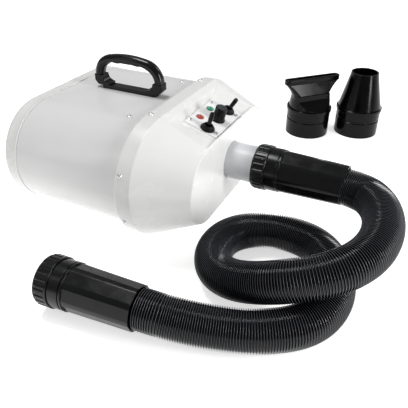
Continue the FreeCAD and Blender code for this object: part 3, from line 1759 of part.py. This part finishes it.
os.makedirs("parts", exist_ok=True)
for node, shape in build().items():
    placed = shape.copy()
    placed.translate(origin * -1)
    if not placed.isValid():
        print("not valid:", node)
    placed.exportStep("parts/" + node + ".step")
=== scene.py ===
import math

import bmesh
import bpy
from mathutils import Matrix, Vector


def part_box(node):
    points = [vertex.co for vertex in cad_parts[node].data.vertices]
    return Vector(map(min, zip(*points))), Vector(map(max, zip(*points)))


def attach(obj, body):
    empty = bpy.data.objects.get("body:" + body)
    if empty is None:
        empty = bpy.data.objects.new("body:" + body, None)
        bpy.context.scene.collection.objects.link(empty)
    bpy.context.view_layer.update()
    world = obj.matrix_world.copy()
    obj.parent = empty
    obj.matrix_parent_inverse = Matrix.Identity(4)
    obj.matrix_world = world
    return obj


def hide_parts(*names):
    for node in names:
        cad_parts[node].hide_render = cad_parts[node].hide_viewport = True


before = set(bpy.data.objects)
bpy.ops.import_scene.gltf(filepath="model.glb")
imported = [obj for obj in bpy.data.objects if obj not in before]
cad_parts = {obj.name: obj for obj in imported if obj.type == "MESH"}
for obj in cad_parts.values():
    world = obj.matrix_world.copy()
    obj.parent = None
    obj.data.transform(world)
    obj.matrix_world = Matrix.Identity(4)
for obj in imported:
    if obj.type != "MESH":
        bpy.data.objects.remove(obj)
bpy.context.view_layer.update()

# Studio: a wide sheet of matt white paper under the dryer and four soft boxes round it,
# as for a catalogue picture. The paper is nearly white and a little bright by itself, so
# it shows only the faint soft shadow below each piece.
scene = bpy.context.scene
scene.view_settings.view_transform = "Standard"
paper_half = 20.0
paper_drop = 0.0004
paper_grain = 900.0
paper_glow = 0.62
room_glow = 0.26


def linear(colour):
    """An sRGB hex colour as Blender's linear one."""
    parts = [int(colour[place:place + 2], 16) / 255 for place in (1, 3, 5)]
    return (*[p / 12.92 if p <= 0.04045 else ((p + 0.055) / 1.055) ** 2.4 for p in parts], 1.0)


def add(tree, kind, inputs=None, **settings):
    """Adds one node. An input is a value, or another node's output to link."""
    node = tree.nodes.new(kind)
    for name, value in settings.items():
        setattr(node, name, value)
    for name, value in (inputs or {}).items():
        if isinstance(value, bpy.types.NodeSocket):
            tree.links.new(value, node.inputs[name])
        else:
            node.inputs[name].default_value = value
    return node


def surface(name, colour, **inputs):
    """A material with one shader of that colour: its node tree and shader come with it."""
    material = bpy.data.materials.new(name)
    material.use_nodes = True
    shader = material.node_tree.nodes["Principled BSDF"]
    shader.inputs["Base Color"].default_value = linear(colour)
    for label, value in inputs.items():
        shader.inputs[label.replace("_", " ").title().replace("Ior", "IOR")].default_value = value
    return material, material.node_tree, shader


def placed_mesh(name, build):
    """A new object whose mesh a bmesh function builds where it belongs, in metres."""
    mesh = bpy.data.meshes.new(name)
    shape = bmesh.new()
    build(shape)
    shape.to_mesh(mesh)
    shape.free()
    piece = bpy.data.objects.new(name, mesh)
    scene.collection.objects.link(piece)
    return piece


def build_paper(shape):
    """One flat sheet, a hair below the feet."""
    level = Matrix.Translation((0.0, 0.0, -paper_drop))
    bmesh.ops.create_grid(shape, size=paper_half, matrix=level)


paper = placed_mesh("paper_sweep", build_paper)
# Matt white paper, uncoated: no gloss, and a grain too fine to show from here.
paper_finish, tree, shader = surface("matt_white_paper", "#FBFBFA", roughness=0.9, specular_ior_level=0.1)
shader.inputs["Emission Color"].default_value = linear("#FFFFFF")
shader.inputs["Emission Strength"].default_value = paper_glow
place = add(tree, "ShaderNodeTexCoord")
grain = add(
    tree,
    "ShaderNodeTexNoise",
    {"Vector": place.outputs["Object"], "Scale": paper_grain, "Detail": 3.0},
)
bump = add(tree, "ShaderNodeBump", {"Height": grain.outputs["Fac"], "Strength": 0.05, "Distance": 0.0002})
tree.links.new(bump.outputs["Normal"], shader.inputs["Normal"])
paper.data.materials.append(paper_finish)

room = bpy.data.worlds.new("white_room")
scene.world = room
room.use_nodes = True
room.node_tree.nodes["Background"].inputs["Color"].default_value = linear("#FFFFFF")
room.node_tree.nodes["Background"].inputs["Strength"].default_value = room_glow


def soft_box(name, place, aim, width, height, power):
    """A rectangular soft box at a place, turned to face a point: metres and watts."""
    light = bpy.data.lights.new(name, "AREA")
    light.shape = "RECTANGLE"
    light.size, light.size_y, light.energy = width, height, power
    box = bpy.data.objects.new(name, light)
    heading = Vector(aim) - Vector(place)
    box.matrix_world = Matrix.Translation(place) @ heading.to_track_quat("-Z", "Y").to_matrix().to_4x4()
    scene.collection.objects.link(box)


soft_box("top_box", (-0.45, -0.1, 1.5), (0.05, 0.0, 0.1), width=0.5, height=0.4, power=11.0)
soft_box("front_box", (1.4, -0.3, 0.5), (0.1, 0.0, 0.08), width=0.3, height=0.7, power=14.0)
soft_box("left_strip", (-0.9, -1.2, 0.9), (0.0, 0.0, 0.1), width=0.12, height=1.1, power=0.8)
soft_box("back_strip", (0.6, 1.3, 0.8), (0.1, 0.1, 0.1), width=0.16, height=1.2, power=3.0)

# Camera: above the near right corner, looking down on the dryer. Its place, heading and
# pitch fit the casing's edges, and its lens the distance at which they meet. Places are
# measured from the casing's rear, and shift brings them into the model's own frame.
outlet_mouth_place = Vector((0.296, 0.0, 0.093))
mouth_low, mouth_high = (Vector(corner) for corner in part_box("outlet_sleeve"))
mouth_middle = (mouth_low + mouth_high) / 2
shift = Vector((mouth_low.x, mouth_middle.y, mouth_middle.z)) - outlet_mouth_place
camera_place = Vector((0.48967, -0.55797, 0.4197))
camera_heading = 0.459
camera_pitch = 0.588
lens_length = 42.86
film_width = 36.0
nearest_seen = 0.01
lens = bpy.data.cameras.new("catalogue_camera")
lens.lens = lens_length
lens.sensor_width = film_width
lens.clip_start = nearest_seen
camera = bpy.data.objects.new("catalogue_camera", lens)
camera.location = camera_place + shift
camera.rotation_euler = (math.pi / 2 - camera_pitch, 0.0, camera_heading)
scene.collection.objects.link(camera)
scene.camera = camera

# Hose: about a metre of blow-moulded polyethylene hose with rings a few millimetres
# apart. It leaves the outlet cuff, crosses over itself in one loop on the table and
# ends in the free cuff. Its plain ends are tucked into the cuffs.
hose_radius = 0.024
hose_root = 0.0216
hose_bore = 0.020
hose_tuck = 0.046
ring_count = 330
hose_sides = 42
bore_steps = 60
line_fineness = 24
route = [
    (0.371, 0.0, 0.093),
    (0.435, 0.0, 0.093),
    (0.466, -0.029, 0.092),
    (0.478, -0.072, 0.089),
    (0.472, -0.117, 0.085),
    (0.448, -0.154, 0.080),
    (0.404, -0.178, 0.069),
    (0.346, -0.174, 0.040),
    (0.306, -0.156, 0.027),
    (0.285, -0.121, 0.0243),
    (0.287, -0.082, 0.0243),
    (0.313, -0.052, 0.0243),
    (0.358, -0.038, 0.0243),
    (0.406, -0.048, 0.0243),
    (0.436, -0.090, 0.0243),
    (0.446, -0.140, 0.0243),
    (0.431, -0.187, 0.0243),
    (0.386, -0.220, 0.0243),
    (0.338, -0.235, 0.0243),
    (0.300, -0.244, 0.027),
    (0.27331, -0.24993, 0.031),
    (0.2134, -0.25307, 0.031),
]
line = bpy.data.curves.new("hose_line", "CURVE")
line.dimensions = "3D"
line.resolution_u = line_fineness
spline = line.splines.new("NURBS")
spline.points.add(len(route) - 1)
for point, corner in zip(spline.points, route):
    point.co = (*(Vector(corner) + shift), 1.0)
spline.order_u = 3
spline.use_endpoint_u = True
line_object = bpy.data.objects.new("hose_line", line)
scene.collection.objects.link(line_object)
line_mesh = bpy.data.meshes.new_from_object(line_object)
hose_path = [vertex.co.copy() for vertex in line_mesh.vertices]
bpy.data.objects.remove(line_object)
bpy.data.meshes.remove(line_mesh)
reach = [0.0]
for before, after in zip(hose_path, hose_path[1:]):
    reach.append(reach[-1] + (after - before).length)
hose_length = reach[-1]


def along_hose(distance):
    """Point and heading on the hose's centre line, at a distance from its start."""
    index = 1
    while index < len(reach) - 1 and reach[index] < distance:
        index += 1
    share = (distance - reach[index - 1]) / (reach[index] - reach[index - 1])
    point = hose_path[index - 1].lerp(hose_path[index], share)
    first = max(index - 2, 0)
    last = min(index + 1, len(hose_path) - 1)
    early = hose_path[index] - hose_path[first]
    late = hose_path[last] - hose_path[index - 1]
    return point, early.normalized().lerp(late.normalized(), share).normalized()


# One ring from valley to valley: share of the pitch, and share of the ring's height.
ring_steps = ((0.0, 0.0), (0.26, 0.12), (0.38, 0.82), (0.50, 1.0), (0.62, 0.82), (0.74, 0.12))
ring_pitch = (hose_length - 2 * hose_tuck) / ring_count
ring_height = hose_radius - hose_root


def hose_profile():
    """Distance along the hose and radius, ring after ring, with plain ends and a bore."""
    stations = [(0.0, hose_bore), (0.0, hose_root)]
    for ring in range(ring_count):
        for share, rise in ring_steps:
            distance = hose_tuck + (ring + share) * ring_pitch
            stations.append((distance, hose_root + rise * ring_height))
    stations += [(hose_length - hose_tuck, hose_root), (hose_length, hose_root), (hose_length, hose_bore)]
    stations += [(hose_length * (1 - step / bore_steps), hose_bore) for step in range(1, bore_steps)]
    return stations


def build_hose(shape):
    """Spins the ringed profile round a straight line, then lays the tube on its route."""
    rise = shape.verts.layers.float.new("ring_rise")
    corners = [shape.verts.new((distance, 0.0, radius)) for distance, radius in hose_profile()]
    edges = [shape.edges.new(pair) for pair in zip(corners, corners[1:] + corners[:1])]
    bmesh.ops.spin(
        shape,
        geom=corners + edges,
        cent=(0, 0, 0),
        axis=(1, 0, 0),
        angle=2 * math.pi,
        steps=hose_sides,
        use_merge=True,
    )
    bmesh.ops.recalc_face_normals(shape, faces=shape.faces)
    stations = {}
    for vertex in shape.verts:
        distance = round(vertex.co.x, 7)
        if distance not in stations:
            point, ahead = along_hose(min(max(distance, 0.0), hose_length))
            level = Vector((0, 0, 1)).cross(ahead).normalized()
            stations[distance] = (point, level, ahead.cross(level))
        point, level, up = stations[distance]
        radius = math.hypot(vertex.co.y, vertex.co.z)
        vertex[rise] = max(0.0, (radius - hose_root) / ring_height)
        vertex.co = point + level * vertex.co.y + up * vertex.co.z
    for face in shape.faces:
        face.smooth = True


hose = placed_mesh("ringed_hose", build_hose)
# Glossy black polyethylene, blow moulded: the valleys are deep black, and each ring's
# crest is painted greyer as a painted highlight. Its gloss is cloudy over about 22 mm, and the skin's
# grain of about 1.4 mm is drawn coarser than the real one, which is too fine to show.
hose_cloud = 45.0
hose_grain = 700.0
crest_start = 0.84
hose_finish, tree, shader = surface(
    "blow_moulded_polyethylene",
    "#050507",
    roughness=0.2,
    ior=1.5,
    specular_ior_level=0.4,
)
place = add(tree, "ShaderNodeTexCoord")
cloud = add(
    tree,
    "ShaderNodeTexNoise",
    {"Vector": place.outputs["Object"], "Scale": hose_cloud, "Detail": 4.0},
)
gloss = add(
    tree,
    "ShaderNodeMapRange",
    {"Value": cloud.outputs["Fac"], "From Min": 0.3, "From Max": 0.7, "To Min": 0.12, "To Max": 0.22},
)
tree.links.new(gloss.outputs["Result"], shader.inputs["Roughness"])
valley = add(
    tree,
    "ShaderNodeMix",
    {"Factor": cloud.outputs["Fac"], "A": linear("#020204"), "B": linear("#060609")},
    data_type="RGBA",
)
# Painted highlight: each ring's crest, found by ring_rise, is painted greyer in place of the gloss on the
# rings.
height = add(tree, "ShaderNodeAttribute", attribute_name="ring_rise")
crest = add(
    tree,
    "ShaderNodeMapRange",
    {"Value": height.outputs["Fac"], "From Min": crest_start, "From Max": 1.0, "To Min": 0.0, "To Max": 1.0},
)
painted_crest_highlight = add(
    tree,
    "ShaderNodeMix",
    {"Factor": crest.outputs["Result"], "A": valley.outputs["Result"], "B": linear("#5C5F65")},
    data_type="RGBA",
)
tree.links.new(painted_crest_highlight.outputs["Result"], shader.inputs["Base Color"])
skin = add(
    tree,
    "ShaderNodeTexNoise",
    {"Vector": place.outputs["Object"], "Scale": hose_grain, "Detail": 2.0},
)
bump = add(tree, "ShaderNodeBump", {"Height": skin.outputs["Fac"], "Strength": 0.08, "Distance": 0.0002})
tree.links.new(bump.outputs["Normal"], shader.inputs["Normal"])
hose.data.materials.append(hose_finish)
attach(hose, "hose_line")
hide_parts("hose")

# Cuffs: two alike injection mouldings of black polypropylene, pushed over the hose's
# ends, each with a grooved grip ring that snaps round its neck and turns there.
millimetres = 1000.0
skin_strength = 0.3
shade_depth = 0.94
edge_samples = 8


def dress(finish, *nodes):
    """Gives the solids of these nodes a finish."""
    for node in nodes:
        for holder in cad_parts[node].material_slots:
            holder.material = finish


def moulded(name, colour, rough, mottle, peel, peel_depth, edge=0.8, shine=0.5):
    """A moulded, painted or laminated surface, with its gloss, shade and skin.

    rough is the roughness where it is glossiest and dullest. mottle is the size of the
    clouds of gloss and shade, peel and peel_depth are the skin's grain, and edge is the
    round of its worn edges, all in millimetres. shine is the shader's specular level.
    """
    finish, tree, shader = surface(
        name,
        colour,
        roughness=sum(rough) / 2,
        ior=1.5,
        specular_ior_level=shine,
    )
    place = add(tree, "ShaderNodeTexCoord")
    cloud = add(
        tree,
        "ShaderNodeTexNoise",
        {"Vector": place.outputs["Object"], "Scale": millimetres / mottle, "Detail": 4.0},
    )
    gloss = add(
        tree,
        "ShaderNodeMapRange",
        {
            "Value": cloud.outputs["Fac"],
            "From Min": 0.3,
            "From Max": 0.7,
            "To Min": rough[0],
            "To Max": rough[1],
        },
    )
    tree.links.new(gloss.outputs["Result"], shader.inputs["Roughness"])
    deep = [channel * shade_depth for channel in linear(colour)[:3]]
    shade = add(
        tree,
        "ShaderNodeMix",
        {"Factor": cloud.outputs["Fac"], "A": (*deep, 1.0), "B": linear(colour)},
        data_type="RGBA",
    )
    tree.links.new(shade.outputs["Result"], shader.inputs["Base Color"])
    skin = add(
        tree,
        "ShaderNodeTexNoise",
        {"Vector": place.outputs["Object"], "Scale": millimetres / peel, "Detail": 2.0},
    )
    worn = add(tree, "ShaderNodeBevel", {"Radius": edge / millimetres}, samples=edge_samples)
    bump = add(
        tree,
        "ShaderNodeBump",
        {
            "Height": skin.outputs["Fac"],
            "Normal": worn.outputs["Normal"],
            "Strength": skin_strength,
            "Distance": peel_depth / millimetres,
        },
    )
    tree.links.new(bump.outputs["Normal"], shader.inputs["Normal"])
    return finish


# Black polypropylene from a polished mould: satin to glossy, with bright thin edges.
cuff_finish = moulded(
    "satin_black_polypropylene", "#050608", (0.18, 0.28), mottle=14.0, peel=1.2, peel_depth=0.03, shine=0.35
)
cuff_nodes = ("outlet_sleeve", "outlet_collar", "end_sleeve", "end_collar")
dress(cuff_finish, *cuff_nodes)

# Casing: a tube of rolled sheet steel, enamelled white, between a moulded cap behind and
# a moulded hood in front. A thin ring lies in the seam between tube and hood, and the
# white outlet spigot is clamped behind the hood's face.
# Glossy white ABS: even and bright, its edges rounder than the mould's other pieces.
white_abs = moulded(
    "gloss_white_abs", "#EDEDEC", (0.2, 0.3), mottle=30.0, peel=1.5, peel_depth=0.02, edge=1.6
)
dress(white_abs, "rear_cap", "front_hood")
# Sprayed and baked enamel on steel: glossier, with a broad, faint orange peel.
white_enamel = moulded("gloss_white_enamel", "#E8E9E8", (0.16, 0.26), mottle=60.0, peel=2.5, peel_depth=0.03)
dress(white_enamel, "body_tube")
# Grey ABS, which reads as a fine shadow line in the seam.
grey_abs = moulded("satin_grey_abs", "#9A9A9A", (0.4, 0.5), mottle=10.0, peel=0.8, peel_depth=0.02)
dress(grey_abs, "joint_ring")
# White ABS, unpolished: cooler and duller than the hood.
spigot_abs = moulded("satin_white_abs", "#D8D9DC", (0.34, 0.46), mottle=12.0, peel=1.0, peel_depth=0.02)
dress(spigot_abs, "outlet_spigot")

# Fastenings, feet and fittings: zinc-plated screws hold the casing and its panel, rubber
# feet are screwed under it, and a gland for the mains lead sits in the cap. Black mouldings
# carry the motors, the filter and the switches.
# Zinc plate, barrel plated: small bright dots with a soft gloss.
zinc_plate = surface("bright_zinc_plate", "#ECEDEE", metallic=1.0, roughness=0.42)[0]
dress(zinc_plate, "case_screws", "panel_screws", "handle_bolts", "foot_screws", "spigot_screws")
# Moulded rubber: dull black, slightly dusty.
black_rubber = moulded("black_rubber", "#141414", (0.55, 0.7), mottle=8.0, peel=0.6, peel_depth=0.03)
dress(
    black_rubber,
    "rear_feet",
    "front_feet",
    "motor_gaskets",
    "motor_mount_rings",
    "cone_liner",
    "flat_liner",
)
# Black ABS from a spark-eroded mould: an even satin.
black_abs = moulded("satin_black_abs", "#17181A", (0.35, 0.5), mottle=10.0, peel=0.7, peel_depth=0.02)
dress(
    black_abs,
    "cable_gland",
    "gland_nut",
    "filter_retainer",
    "bulkhead",
    "front_frame",
    "thermal_cutout",
    "selector_switch",
    "near_toggle_switch",
    "far_toggle_switch",
)
# Open-cell polyurethane foam: no gloss, and a deep coarse grain.
filter_foam = moulded("grey_filter_foam", "#3A3B3C", (0.85, 0.95), mottle=6.0, peel=1.5, peel_depth=0.4)
dress(filter_foam, "filter_foam")

# Blowers and heater: two motors with pressed fan cans sit on cast frames behind the
# filter, and blow past a resistance coil on mica boards. None of them shows from
# outside, except through the slots.
# Zinc-coated sheet steel, pressed: grey with a broad soft gloss.
zinc_steel = surface("zinc_coated_steel", "#A9ABAD", metallic=1.0, roughness=0.38)[0]
dress(zinc_steel, "near_fan_can", "far_fan_can", "heater_duct")
# Die-cast aluminium, as cast: pale and dull.
cast_aluminium = surface("die_cast_aluminium", "#B9BABB", metallic=1.0, roughness=0.45)[0]
dress(
    cast_aluminium,
    "near_impeller",
    "far_impeller",
    "near_motor_frame",
    "far_motor_frame",
    "selector_shaft",
)
# Enamelled copper windings on a steel shaft: warm brown metal.
rotor_metal = surface("enamelled_copper_and_steel", "#9A6A48", metallic=1.0, roughness=0.4)[0]
dress(rotor_metal, "near_armature", "far_armature")
# Stacked iron laminations under varnish: dark and brownish.
varnished_iron = surface("varnished_laminations", "#4A4643", metallic=0.8, roughness=0.5)[0]
dress(varnished_iron, "near_stator", "far_stator")
# Glass laminate under green solder resist: smooth and slightly glossy.
laminate = moulded("green_glass_laminate", "#1F5A33", (0.3, 0.4), mottle=5.0, peel=0.8, peel_depth=0.02)
dress(laminate, "circuit_board")
# Pressed mica board: mottled tan, half dull.
mica = moulded("mica_board", "#A8925F", (0.45, 0.6), mottle=6.0, peel=1.0, peel_depth=0.03)
dress(mica, "heater_frame")
# Drawn resistance wire, grey from heat.
heater_wire = surface("resistance_wire", "#8A8580", metallic=1.0, roughness=0.45)[0]
dress(heater_wire, "heater_coil")

# Control panel: an enamelled plate screwed into the hood's pocket, with two toggle
# switches in rubber boots, a fluted selector knob with a metal disc in its top, and a
# red and a green lamp pushed in from the front.
# White enamel on the plate: brighter and flatter than the hood round it.
panel_enamel = moulded("white_panel_enamel", "#F4F4F4", (0.3, 0.4), mottle=20.0, peel=1.0, peel_depth=0.01)
dress(panel_enamel, "panel_plate")
# Moulded neoprene: soft black with a wide dull gloss.
neoprene = moulded(
    "moulded_neoprene", "#0A0B0C", (0.4, 0.55), mottle=6.0, peel=0.5, peel_depth=0.02, shine=0.22
)
dress(neoprene, "near_toggle_boot", "far_toggle_boot")
# Black nylon from a polished mould: small sharp highlights.
nylon = moulded(
    "gloss_black_nylon", "#060708", (0.2, 0.3), mottle=6.0, peel=0.5, peel_depth=0.01, shine=0.22
)
dress(nylon, "near_toggle_lever", "far_toggle_lever", "selector_knob")
# Spun aluminium, dyed dark.
spun_disc = surface("spun_dark_aluminium", "#6E7174", metallic=1.0, roughness=0.35)[0]
dress(spun_disc, "knob_cap")
# Tinted acrylic lenses: smooth and glossy, unlit.
for lamp, colour in (("red", "#AE4A42"), ("green", "#2E8F70")):
    lens_finish = moulded(lamp + "_lens", colour, (0.12, 0.2), mottle=4.0, peel=0.5, peel_depth=0.01)
    dress(lens_finish, lamp + "_lamp")

# Carrying handle: an arched grip with finger grooves, moulded in glass-filled polyamide,
# held by two end blocks on a base strip that is bolted down through the tube.
# Glossy black polyamide: long soft highlights along the arch.
polyamide = moulded(
    "gloss_black_polyamide", "#040506", (0.16, 0.28), mottle=12.0, peel=0.8, peel_depth=0.02, shine=0.35
)
dress(polyamide, "handle_grip", "handle_ends", "handle_base")

# Loose nozzles: a round cone and a flat slot, injection moulded, that stand beside the
# dryer. Each slips over the free cuff's ring by the rubber liner in its skirt.
# Glossy black polypropylene: nearly mirror smooth, and the darkest of the pieces.
polypropylene = moulded(
    "gloss_black_polypropylene", "#030304", (0.12, 0.2), mottle=15.0, peel=1.0, peel_depth=0.02, shine=0.15
)
dress(polypropylene, "cone_nozzle", "flat_nozzle")
